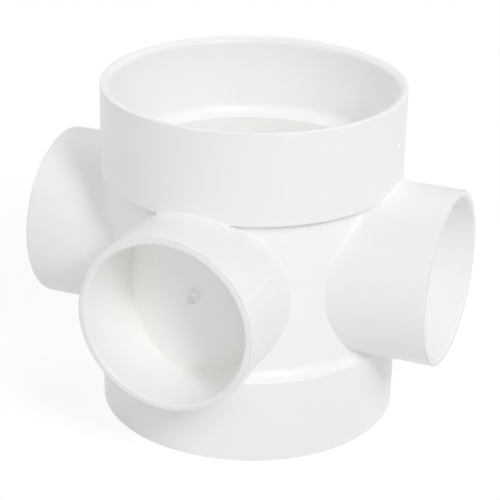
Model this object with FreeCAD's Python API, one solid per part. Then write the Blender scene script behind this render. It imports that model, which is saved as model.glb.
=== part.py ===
import FreeCAD, Part
import math
import os

# A short boss pipe for a soil stack: one plastic moulding with a socket at each end
# and three bosses round its middle, each closed by the pipe's own wall.
# Z runs up the pipe from the centre of the lower rim, and the middle boss points to -Y.

# The soil pipe that enters each socket, the socket's wall, and the stop that ends it.
pipe_radius = 55.0
socket_clearance = 0.3
socket_wall = 3.7
socket_depth = 30.0
stop_ledge = 3.3
stop_rise = 3.3
stop_fillet = 5.0

# The rim of a socket: a broad rounding that leads the pipe in, and a smaller one outside.
lead_in_round = 2.5
rim_round = 0.5

# The thicker collar and base round the sockets, past each stop, and the wall between them.
collar_past_stop = 2.1
base_past_stop = 0.5
base_edge_round = 0.8
taper_rise = 2.6
taper_fillet = 4.0
body_wall = 3.5

# The bosses, each a short tube that takes a waste adaptor and runs into the collar and the base.
boss_angles = {"right": 0.0, "front": -90.0, "left": 180.0}
boss_bore_radius = 31.3
boss_wall = 3.0
boss_stand_out = 23.7
boss_overlap = 2.4
boss_rim_round = 1.0
boss_lead_in_round = 0.9
boss_draft_angle = 1.0
junction_fillet = 0.5
crease_fillet = 0.4

# The fine line round the outer edge of each boss's mouth, where the two halves of the mould met.
mould_line_width = 0.45
mould_line_depth = 0.9

# The raised ring that centres a hole saw in each boss, and its tapered pilot hole.
pilot_ring_radius = 2.5
pilot_ring_wall = 0.8
pilot_ring_height = 3.0
pilot_ring_round = 0.25
pilot_hole_depth = 2.8
pilot_hole_taper = 0.5
pilot_ring_clearance = 0.5

# The mark where the plastic entered the mould, half way up the collar over the right boss.
gate_mark_radius = 1.2
gate_mark_height = 0.5
gate_mark_round = 0.4

# Sizes that follow from those above.
socket_bore_radius = pipe_radius + socket_clearance
socket_outer_radius = socket_bore_radius + socket_wall
flow_bore_radius = socket_bore_radius - stop_ledge
body_outer_radius = flow_bore_radius + body_wall
boss_outer_radius = boss_bore_radius + boss_wall
boss_reach = socket_outer_radius + boss_stand_out
boss_seat_start = body_outer_radius + pilot_ring_height + pilot_ring_clearance
base_edge = socket_depth + stop_rise + base_past_stop
boss_height = base_edge + boss_outer_radius - boss_overlap
collar_edge = boss_height + boss_outer_radius - boss_overlap
collar_height = collar_past_stop + stop_rise + socket_depth
overall_height = collar_edge + collar_height
upper_foot = overall_height - socket_depth
boss_foot_radius = body_outer_radius - body_wall / 4

origin = FreeCAD.Vector(0, 0, 0)
sideways = FreeCAD.Vector(0, 1, 0)
up = FreeCAD.Vector(0, 0, 1)
quarter_turn = 90
full_turn = 360
seam_angle = quarter_turn / 2
same_place = 0.001
sharp = 0


def corner_arc(before, corner, after, rounding):
    """The start, middle and end of the arc that rounds a corner of an outline."""
    back = (before - corner).normalize()
    ahead = (after - corner).normalize()
    half_angle = back.getAngle(ahead) / 2
    tangent_length = rounding / math.tan(half_angle)
    inward = (back + ahead).normalize()
    middle = corner + inward * (rounding / math.sin(half_angle) - rounding)
    return corner + back * tangent_length, middle, corner + ahead * tangent_length


def turned(outline):
    """Turn a closed outline of (radius, height, rounding) corners about Z, its seam between two bosses."""
    corners = [FreeCAD.Vector(radius, 0, height) for radius, height, rounding in outline]
    arcs = []
    for index, (radius, height, rounding) in enumerate(outline):
        before = corners[index - 1]
        after = corners[(index + 1) % len(corners)]
        if rounding:
            arcs.append(corner_arc(before, corners[index], after, rounding))
        else:
            arcs.append((corners[index],))
    edges = []
    for index, arc in enumerate(arcs):
        if (arc[0] - arcs[index - 1][-1]).Length > same_place:
            edges.append(Part.makeLine(arcs[index - 1][-1], arc[0]))
        if len(arc) > 1:
            edges.append(Part.Arc(*arc).toShape())
    face = Part.Face(Part.Wire(edges))
    face.rotate(origin, up, seam_angle)
    return face.revolve(origin, up, full_turn)


def on_boss(shape, angle):
    """Lay a shape that is drawn along +Z on the axis of the boss at this angle."""
    laid = shape.copy()
    laid.rotate(origin, sideways, quarter_turn)
    laid.rotate(origin, up, angle)
    laid.translate(up * boss_height)
    return laid


def middle_of(edge):
    """The point half way along an edge."""
    return edge.valueAt((edge.FirstParameter + edge.LastParameter) / 2)


def boss_meets_pipe(edge):
    """Does this edge lie where the outside of a boss meets the pipe?"""
    point = middle_of(edge)
    for angle in boss_angles.values():
        turn = math.radians(angle)
        direction = FreeCAD.Vector(math.cos(turn), math.sin(turn), 0)
        along = point.dot(direction)
        away = (point - direction * along - up * boss_height).Length
        if 0 < along < socket_outer_radius + same_place and abs(away - boss_outer_radius) < same_place:
            return True
    return False


def on_pipe_wall(edge):
    """Does this edge lie on the outside of the pipe's plain wall?"""
    point = middle_of(edge)
    return abs(math.hypot(point.x, point.y) - body_outer_radius) < same_place


def rounded(shape, fillet, belongs):
    """Fillet the edges of a shape for which belongs(edge) is true."""
    return shape.makeFillet(fillet, [edge for edge in shape.Edges if belongs(edge)])


def pipe():
    """The pipe's wall, turned from its section: up the outside, over the upper rim and down the inside."""
    return turned([
        (socket_outer_radius, 0, rim_round),
        (socket_outer_radius, base_edge, base_edge_round),
        (body_outer_radius, base_edge + taper_rise, taper_fillet),
        (body_outer_radius, collar_edge, sharp),
        (socket_outer_radius, collar_edge, sharp),
        (socket_outer_radius, overall_height, rim_round),
        (socket_bore_radius, overall_height, lead_in_round),
        (socket_bore_radius, upper_foot, stop_fillet),
        (flow_bore_radius, upper_foot - stop_rise, sharp),
        (flow_bore_radius, socket_depth + stop_rise, sharp),
        (socket_bore_radius, socket_depth, stop_fillet),
        (socket_bore_radius, 0, lead_in_round),
    ])


def filled(radius):
    """The pipe's whole height, filled out to a radius."""
    return turned([
        (0, 0, sharp),
        (radius, 0, sharp),
        (radius, overall_height, sharp),
        (0, overall_height, sharp),
    ])


def mould_line():
    """The groove of the mould line along +Z, cut at a slant into the rounded edge of a boss's mouth."""
    slant = FreeCAD.Vector(1, 0, 1).normalize()
    across = FreeCAD.Vector(1, 0, -1).normalize()
    centre = FreeCAD.Vector(boss_outer_radius - boss_rim_round, 0, boss_reach - boss_rim_round)
    edge = centre + slant * boss_rim_round
    bottom = edge - slant * mould_line_depth
    opened = edge + slant * mould_line_depth
    points = [bottom, opened + across * mould_line_width, opened - across * mould_line_width]
    return turned([(point.x, point.z, sharp) for point in points])


def boss_tube(angle):
    """The outside of a boss, filled, from within the pipe's wall to its rounded mouth."""
    tube = turned([
        (0, 0, sharp),
        (boss_outer_radius, 0, sharp),
        (boss_outer_radius, boss_reach, boss_rim_round),
        (0, boss_reach, sharp),
    ])
    return on_boss(tube.cut(mould_line()), angle).cut(filled(boss_foot_radius))


def boss_space(angle):
    """The space in a boss: a rounded lead-in, a parallel seat, and a slight draft down to the pipe's wall."""
    narrowing = boss_seat_start * math.tan(math.radians(boss_draft_angle))
    mouth_radius = boss_bore_radius + boss_lead_in_round
    space = turned([
        (0, 0, sharp),
        (boss_bore_radius - narrowing, 0, sharp),
        (boss_bore_radius, boss_seat_start, sharp),
        (boss_bore_radius, boss_reach, boss_lead_in_round),
        (mouth_radius, boss_reach, sharp),
        (mouth_radius, boss_reach + boss_lead_in_round, sharp),
        (0, boss_reach + boss_lead_in_round, sharp),
    ])
    return rounded(on_boss(space, angle).cut(filled(body_outer_radius)), crease_fillet, on_pipe_wall)


def pilot_ring():
    """The centring ring along +Z, from within the pipe's wall to its rounded top."""
    foot = flow_bore_radius + body_wall / 2
    top = body_outer_radius + pilot_ring_height
    hole_radius = pilot_ring_radius - pilot_ring_wall
    return turned([
        (0, foot, sharp),
        (pilot_ring_radius, foot, sharp),
        (pilot_ring_radius, top, pilot_ring_round),
        (hole_radius, top, pilot_ring_round),
        (hole_radius - pilot_hole_taper, top - pilot_hole_depth, sharp),
        (0, top - pilot_hole_depth, sharp),
    ])


def gate_mark():
    """The gate mark: a low round button on the collar, over the right boss."""
    button = turned([
        (0, socket_outer_radius - socket_wall / 2, sharp),
        (gate_mark_radius, socket_outer_radius - socket_wall / 2, sharp),
        (gate_mark_radius, socket_outer_radius + gate_mark_height, gate_mark_round),
        (0, socket_outer_radius + gate_mark_height, sharp),
    ])
    laid = on_boss(button, boss_angles["right"])
    laid.translate(up * (collar_edge + collar_height / 2 - boss_height))
    return laid


def boss_pipe():
    """The whole moulding: the pipe with its bosses run into it, hollowed, and the small marks on it."""
    whole = pipe()
    for angle in boss_angles.values():
        whole = whole.fuse(boss_tube(angle))
    whole = rounded(whole.removeSplitter(), junction_fillet, boss_meets_pipe)
    for angle in boss_angles.values():
        whole = whole.cut(boss_space(angle))
        whole = whole.fuse(on_boss(pilot_ring(), angle))
    return whole.fuse(gate_mark()).removeSplitter()


os.makedirs("parts", exist_ok=True)
boss_pipe().exportStep("parts/boss_pipe.step")
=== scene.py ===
import bpy
import math
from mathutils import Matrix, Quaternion, Vector

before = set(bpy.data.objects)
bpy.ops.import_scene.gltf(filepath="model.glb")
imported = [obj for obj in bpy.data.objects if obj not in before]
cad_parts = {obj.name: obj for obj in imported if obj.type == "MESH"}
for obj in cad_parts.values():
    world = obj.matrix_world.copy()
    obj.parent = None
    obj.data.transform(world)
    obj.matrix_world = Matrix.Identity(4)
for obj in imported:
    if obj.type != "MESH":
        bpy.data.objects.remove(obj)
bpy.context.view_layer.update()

# The fitting: a short boss pipe, one injection moulding in white unplasticised PVC with no other pieces.
# The polished mould leaves it smooth, with faint lines along the way each core was drawn out
# and a slight waviness where the walls cooled.


class Field:
    """A value or colour on a surface: arithmetic on it adds the matching nodes to its material."""

    def __init__(self, tree, socket):
        self.tree = tree
        self.socket = socket

    def node(self, kind, settings=None, output=0, **inputs):
        """Add a node. An input goes by its socket's name, or by i0, i1 and so on, its place in the row."""
        made = self.tree.nodes.new(kind)
        for name, value in (settings or {}).items():
            setattr(made, name, value)
        for name, value in inputs.items():
            key = int(name[1:]) if name[1:].isdigit() else name
            if isinstance(value, Field):
                self.tree.links.new(value.socket, made.inputs[key])
            else:
                made.inputs[key].default_value = value
        return Field(self.tree, made.outputs[output])

    def math(self, operation, first, second=0.0):
        return self.node("ShaderNodeMath", {"operation": operation}, i0=first, i1=second)

    def mix(self, share, first, second):
        return self.node("ShaderNodeMix", {"data_type": "RGBA"}, output=2, i0=share, i6=first, i7=second)

    def __add__(self, other):
        return self.math("ADD", self, other)

    def __radd__(self, other):
        return self.math("ADD", other, self)

    def __sub__(self, other):
        return self.math("SUBTRACT", self, other)

    def __rsub__(self, other):
        return self.math("SUBTRACT", other, self)

    def __mul__(self, other):
        return self.math("MULTIPLY", self, other)

    def __rmul__(self, other):
        return self.math("MULTIPLY", other, self)


white_pvc = bpy.data.materials.new("white_pvc")
white_pvc.use_nodes = True
pvc_tree = white_pvc.node_tree
pvc_shader = pvc_tree.nodes["Principled BSDF"]
place = Field(pvc_tree, pvc_tree.nodes.new("ShaderNodeTexCoord").outputs["Object"])
x, y, z = (place.node("ShaderNodeSeparateXYZ", output=axis, Vector=place) for axis in "XYZ")

# Each core leaves lines along its own way out: along X in the side bosses, along Y in the front one,
# and up the pipe everywhere else.
boss_start_m = 0.0597
line_stretch = 0.97
line_grain_per_m = 620.0
cooling_waves_per_m = 24.0
polish_grain_per_m = 1400.0
fine_grain = {"Detail": 2.0, "Roughness": 0.6}
broad_waves = {"Detail": 1.0, "Roughness": 0.4}
on_side = place.math("GREATER_THAN", place.math("ABSOLUTE", x), boss_start_m)
on_front = place.math("LESS_THAN", y, -boss_start_m)
on_pipe = 1.0 - place.math("MAXIMUM", on_side, on_front)
drawn = place.node(
    "ShaderNodeCombineXYZ",
    X=x * (1.0 - line_stretch * on_side),
    Y=y * (1.0 - line_stretch * on_front),
    Z=z * (1.0 - line_stretch * on_pipe),
)
lines = place.node("ShaderNodeTexNoise", Vector=drawn, Scale=line_grain_per_m, **fine_grain)
cooling = place.node("ShaderNodeTexNoise", Vector=place, Scale=cooling_waves_per_m, **broad_waves)
polish = place.node("ShaderNodeTexNoise", Vector=place, Scale=polish_grain_per_m, **fine_grain)

# A painted highlight: a pale streak is painted along the outside of the front boss from its mouth towards the
# pipe, high on the right, standing in for the gloss reflection there. It is even over the inner half of its
# width and fades over the outer half.
boss_height_m = 0.0657
boss_outside_m = 0.0330
highlight_streak_turn = math.radians(26.0)
highlight_streak_near_m, highlight_streak_far_m = -0.0815, -0.0556
highlight_streak_half_width_m = 0.0011
highlight_streak_fade = 2.0
above_axis = z - boss_height_m
off_line = place.math("ABSOLUTE", above_axis * math.cos(highlight_streak_turn) - x * math.sin(highlight_streak_turn))
from_axis = x * math.cos(highlight_streak_turn) + above_axis * math.sin(highlight_streak_turn)
on_outside = place.math("GREATER_THAN", from_axis, boss_outside_m)
past_mouth = place.math("GREATER_THAN", y, highlight_streak_near_m)
before_end = place.math("LESS_THAN", y, highlight_streak_far_m)
across_line = place.math("MAXIMUM", highlight_streak_fade - off_line * (highlight_streak_fade / highlight_streak_half_width_m), 0.0)
painted_highlight_streak = on_outside * past_mouth * before_end * place.math("MINIMUM", across_line, 1.0)

# The plastic clouds slightly along the draw lines and waves, and a painted highlight makes it palest on the
# streak along the front boss.
deep_white = (0.950, 0.949, 0.933, 1.0)
pale_white = (0.970, 0.969, 0.954, 1.0)
# The palest white is a painted highlight, put on the streak along the front boss.
painted_highlight_white = (1.0, 0.999, 0.984, 1.0)
line_clouding, cooling_clouding = 0.6, 0.4
clouding = line_clouding * lines + cooling_clouding * cooling
colour = place.mix(painted_highlight_streak, place.mix(clouding, deep_white, pale_white), painted_highlight_white)

# The mould's polish sets the gloss, and its grain and the draw lines dull it unevenly.
polished, polish_dulling, line_dulling = 0.27, 0.06, 0.06
dullness = polished + polish_dulling * polish + line_dulling * lines

# The waves stand about a tenth of a millimetre high, and the rest is a share of that.
wave_height_m = 0.00012
line_height, polish_height, highlight_streak_height = 0.02, 0.002, 0.15
# The painted highlight streak also gets a faint ridge in the bump.
height = cooling + line_height * lines + polish_height * polish + highlight_streak_height * painted_highlight_streak
relief = place.node("ShaderNodeBump", Strength=1.0, Distance=wave_height_m, Height=height)

pvc_ior = 1.53
pvc_shine = 0.30
pvc_tree.links.new(colour.socket, pvc_shader.inputs["Base Color"])
pvc_tree.links.new(dullness.socket, pvc_shader.inputs["Roughness"])
pvc_tree.links.new(relief.socket, pvc_shader.inputs["Normal"])
pvc_shader.inputs["IOR"].default_value = pvc_ior
pvc_shader.inputs["Specular IOR Level"].default_value = pvc_shine

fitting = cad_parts["boss_pipe"]
fitting.data.materials.clear()
fitting.data.materials.append(white_pvc)

# The studio: a broad sheet of pale paper on the table that sweeps up behind the fitting.
# It looks white from the camera and keeps a faint shadow, and isn't part of the fitting.
sheet_m = 7.0
sweep_m = 1.2
sweep_steps = 12
paper_grey = (0.84, 0.84, 0.84, 1.0)
shadow_grey = (0.28, 0.28, 0.28, 1.0)
full_white = (1.0, 1.0, 1.0, 1.0)
paper_glow = 0.77


def pick_edges(piece, belongs):
    """Select only the edges of a piece whose two ends both pass a test."""
    bpy.ops.object.mode_set(mode="EDIT")
    bpy.ops.mesh.select_mode(type="EDGE")
    bpy.ops.mesh.select_all(action="DESELECT")
    bpy.ops.object.mode_set(mode="OBJECT")
    for edge in piece.data.edges:
        edge.select = all(belongs(piece.data.vertices[end].co) for end in edge.vertices)
    bpy.ops.object.mode_set(mode="EDIT")


def background_rays(tree):
    """1 where the camera, a reflection or clear plastic looks at the background, 0 for light that falls on."""
    path = tree.nodes.new("ShaderNodeLightPath")
    camera_ray, glossy_ray, clear_ray = (
        Field(tree, path.outputs[kind]) for kind in ("Is Camera Ray", "Is Glossy Ray", "Is Transmission Ray")
    )
    return camera_ray + glossy_ray + clear_ray


bpy.ops.object.select_all(action="DESELECT")
bpy.ops.mesh.primitive_plane_add(size=sheet_m, location=(0, 0, 0))
sheet = bpy.context.object
sheet.name = "studio_sheet"
pick_edges(sheet, lambda end: end.y > 0)
bpy.ops.mesh.extrude_region_move(TRANSFORM_OT_translate={"value": (0, 0, sheet_m / 2)})
pick_edges(sheet, lambda end: end.y > 0 and end.z == 0)
bpy.ops.mesh.bevel(offset=sweep_m, segments=sweep_steps, affect="EDGES")
bpy.ops.object.mode_set(mode="OBJECT")
bpy.ops.object.shade_smooth()

pale_paper = bpy.data.materials.new("pale_paper")
pale_paper.use_nodes = True
paper_tree = pale_paper.node_tree
paper_tree.nodes.clear()
paper_seen = background_rays(paper_tree)
matt = paper_seen.node("ShaderNodeBsdfDiffuse", Color=paper_grey)
shaded = paper_seen.node("ShaderNodeBsdfDiffuse", Color=shadow_grey)
glow = paper_seen.node("ShaderNodeEmission", Color=full_white, Strength=paper_glow)
faint = paper_seen.node("ShaderNodeAddShader", i0=shaded, i1=glow)
paper = paper_seen.node("ShaderNodeMixShader", i0=paper_seen, i1=matt, i2=faint)
paper_end = paper_tree.nodes.new("ShaderNodeOutputMaterial")
paper_tree.links.new(paper.socket, paper_end.inputs["Surface"])
sheet.data.materials.append(pale_paper)

# The light: two smaller soft boxes at the front right that give the shadows, a ring of broad ones round
# the table with one overhead, and white walls beyond them that give hardly any light of their own.
wall_light = 0.01
wall_white = 1.0
world = bpy.data.worlds.new("surround")
bpy.context.scene.world = world
world.use_nodes = True
world_tree = world.node_tree
world_tree.nodes.clear()
walls_seen = background_rays(world_tree)
dim = walls_seen.node("ShaderNodeBackground", Color=full_white, Strength=wall_light)
bright = walls_seen.node("ShaderNodeBackground", Color=full_white, Strength=wall_white)
walls = walls_seen.node("ShaderNodeMixShader", i0=walls_seen, i1=dim, i2=bright)
world_end = world_tree.nodes.new("ShaderNodeOutputWorld")
world_tree.links.new(walls.socket, world_end.inputs["Surface"])

# Each box has its degrees round the table from the front, its degrees above it, its width and its power.
box_reach_m = 2.0
box_aim = Vector((0, 0, 0.06))
daylight = (0.980, 0.982, 1.0)
for name, around, above, width_m, watts in (
    ("key_box", 50, 35, 0.35, 8.4),
    ("upper_key_box", 50, 45, 0.6, 7.7),
    ("front_box", 15, 29, 1.4, 6.8),
    ("right_box", 95, 35, 1.8, 6.2),
    ("back_right_box", 155, 35, 1.8, 10.0),
    ("top_box", 180, 62, 1.6, 5.4),
    ("back_left_box", 240, 35, 1.8, 6.0),
    ("left_box", 280, 35, 1.8, 9.6),
    ("front_left_box", 320, 35, 1.8, 4.9),
):
    turn, rise = math.radians(around), math.radians(above)
    away = Vector((math.sin(turn) * math.cos(rise), -math.cos(turn) * math.cos(rise), math.sin(rise)))
    lamp = bpy.data.lights.new(name, "AREA")
    lamp.shape = "DISK"
    lamp.size = width_m
    lamp.energy = watts
    lamp.color = daylight
    box = bpy.data.objects.new(name, lamp)
    bpy.context.scene.collection.objects.link(box)
    box.location = box_aim + away * box_reach_m
    box.rotation_mode = "QUATERNION"
    box.rotation_quaternion = (-away).to_track_quat("-Z", "Y")

# Light bounces many times in the white sockets and bosses before it leaves them.
bounces = 16
bounces_off_matt = 14
bpy.context.scene.cycles.max_bounces = bounces
bpy.context.scene.cycles.diffuse_bounces = bounces_off_matt

# The camera: a long lens in front and a little to the right, looking down at the open upper socket.
# Its lens, place, aim and lean are those that fit the rims and edges in the photograph.
lens_mm = 124.41
sensor_mm = 36.0
view_from = Vector((0.23407, -0.58434, 0.34343))
view_at = Vector((-0.00022, -0.00009, 0.06211))
lean = math.radians(1.221)
camera_data = bpy.data.cameras.new("camera")
camera_data.lens = lens_mm
camera_data.sensor_width = sensor_mm
camera = bpy.data.objects.new("camera", camera_data)
bpy.context.scene.collection.objects.link(camera)
camera.location = view_from
camera.rotation_mode = "QUATERNION"
aimed = (view_at - view_from).to_track_quat("-Z", "Y")
camera.rotation_quaternion = aimed @ Quaternion((0, 0, 1), lean)
bpy.context.scene.camera = camera
bpy.context.scene.view_settings.view_transform = "Standard"
